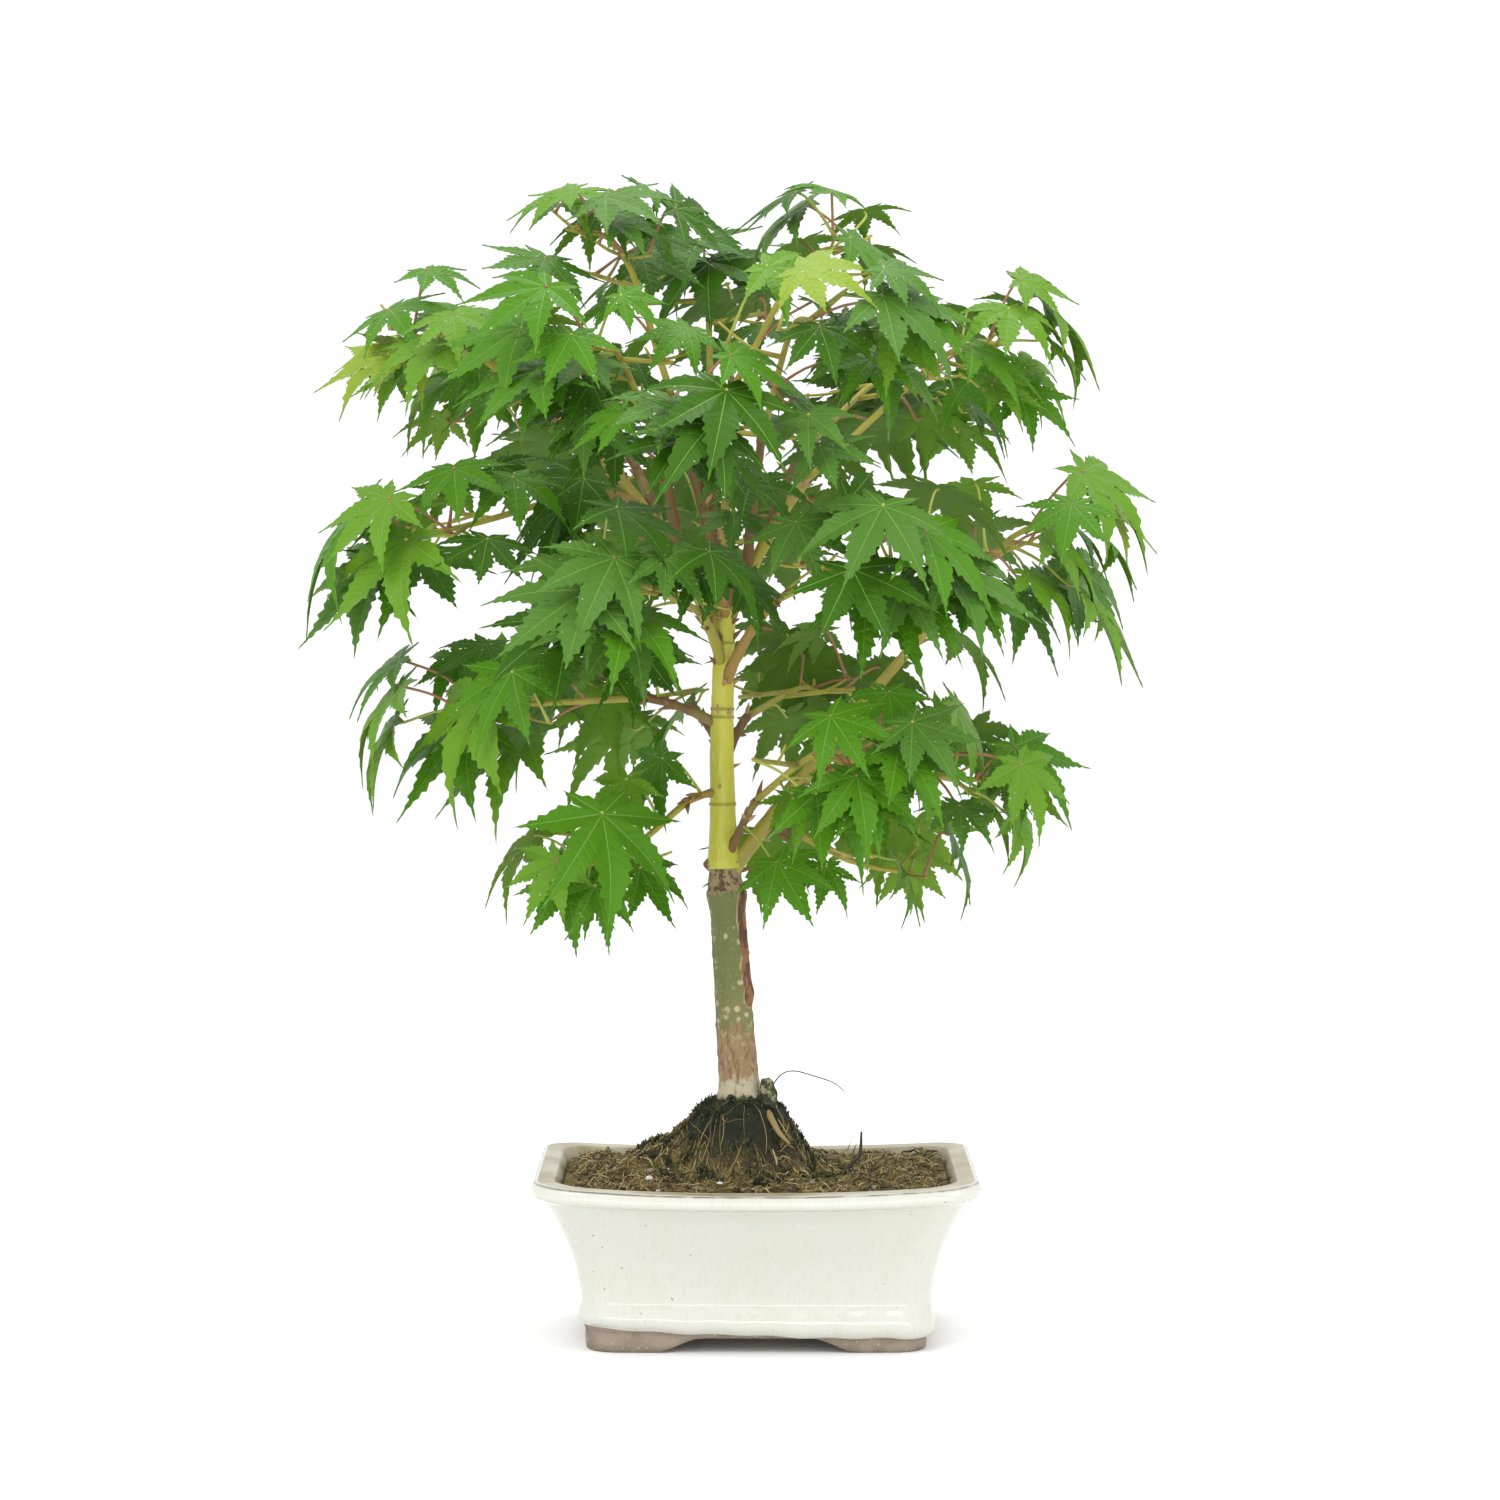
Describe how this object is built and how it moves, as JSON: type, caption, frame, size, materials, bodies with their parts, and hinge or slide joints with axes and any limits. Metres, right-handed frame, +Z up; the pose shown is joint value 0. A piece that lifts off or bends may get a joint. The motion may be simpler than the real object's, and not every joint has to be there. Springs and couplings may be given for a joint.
{
  "type": "potted maple bonsai",
  "caption": "Small palm-leaved maple grown as a bonsai: a slim trunk and spreading boughs carry a dome of lobed leaves above soil in a cream glazed rectangular pot.",
  "frame": {"origin": "middle of the whole object's bounds, at the underside of the pot's feet", "axes": "+Z up, the pot's long front side faces -Y, +X to the right of a viewer in front of it"},
  "size_m": [0.313, 0.2776, 0.4203],
  "materials": {
    "glaze": "glossy cream glaze, bare clay at the feet",
    "soil": "rough moist potting soil with fibres and moss",
    "old_bark": "olive grey bark with a healed scar",
    "young_bark": "smooth yellow-green young bark",
    "bough_bark": "smooth tan to red-brown young bark",
    "leaves": "fresh green leaves with a soft gloss"
  },
  "bodies": {
    "root": {"pot": "glaze", "soil": "soil", "trunk": "old_bark", "leader": "young_bark", "bough_right_mid": "bough_bark", "foliage_right_mid": "leaves", "bough_left_high": "bough_bark", "foliage_left_high": "leaves", "bough_right_high": "bough_bark", "foliage_right_high": "leaves", "bough_top_left": "bough_bark", "foliage_top_left": "leaves", "bough_top_right": "bough_bark", "foliage_top_right": "leaves", "bough_top_back": "bough_bark", "foliage_top_back": "leaves", "bough_front_left_high": "bough_bark", "foliage_front_left_high": "leaves", "bough_front_right_high": "bough_bark", "foliage_front_right_high": "leaves", "bough_back_right_high": "bough_bark", "foliage_back_right_high": "leaves", "bough_back_left_high": "bough_bark", "foliage_back_left_high": "leaves", "bough_left_mid": "bough_bark", "foliage_left_mid": "leaves", "bough_front_centre": "bough_bark", "foliage_front_centre": "leaves", "bough_front_left_mid": "bough_bark", "foliage_front_left_mid": "leaves", "bough_front_right_mid": "bough_bark", "foliage_front_right_mid": "leaves", "bough_back_mid": "bough_bark", "foliage_back_mid": "leaves", "bough_left_low": "bough_bark", "foliage_left_low": "leaves", "bough_right_low": "bough_bark", "foliage_right_low": "leaves", "bough_front_low": "bough_bark", "foliage_front_low": "leaves", "bough_back_left_low": "bough_bark", "foliage_back_left_low": "leaves", "bough_back_right_low": "bough_bark", "foliage_back_right_low": "leaves", "bough_hanging_left": "bough_bark", "foliage_hanging_left": "leaves", "bough_hanging_right": "bough_bark", "foliage_hanging_right": "leaves"}
  },
  "joints": []
}
